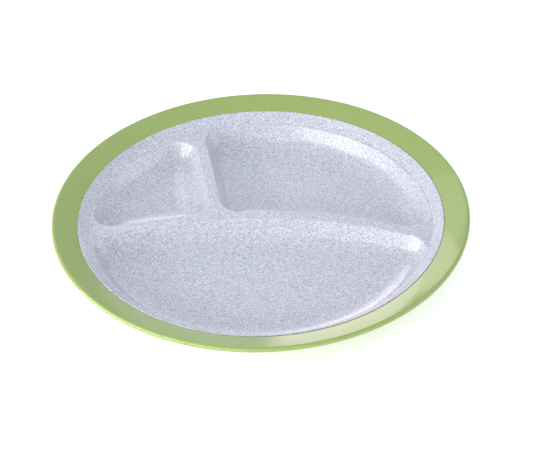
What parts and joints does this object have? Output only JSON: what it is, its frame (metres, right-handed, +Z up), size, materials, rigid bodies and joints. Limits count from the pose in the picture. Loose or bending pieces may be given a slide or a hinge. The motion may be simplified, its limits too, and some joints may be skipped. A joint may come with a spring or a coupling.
{
  "type": "compartment_plate",
  "caption": "Round melamine lunch plate with a wide front well, small wells behind a curved divider, and a coloured rim round a speckled liner",
  "frame": {"origin": "centre of the plate on the table it stands on", "axes": "+X to the right and +Y away, seen by the person the wide well faces; +Z up, out of the wells"},
  "size_m": [0.25, 0.25, 0.025],
  "materials": {
    "rim_melamine": "gloss",
    "speckled_melamine": "gloss"
  },
  "bodies": {
    "root": {"outer_body": "rim_melamine", "compartment_liner": "speckled_melamine"}
  },
  "joints": []
}
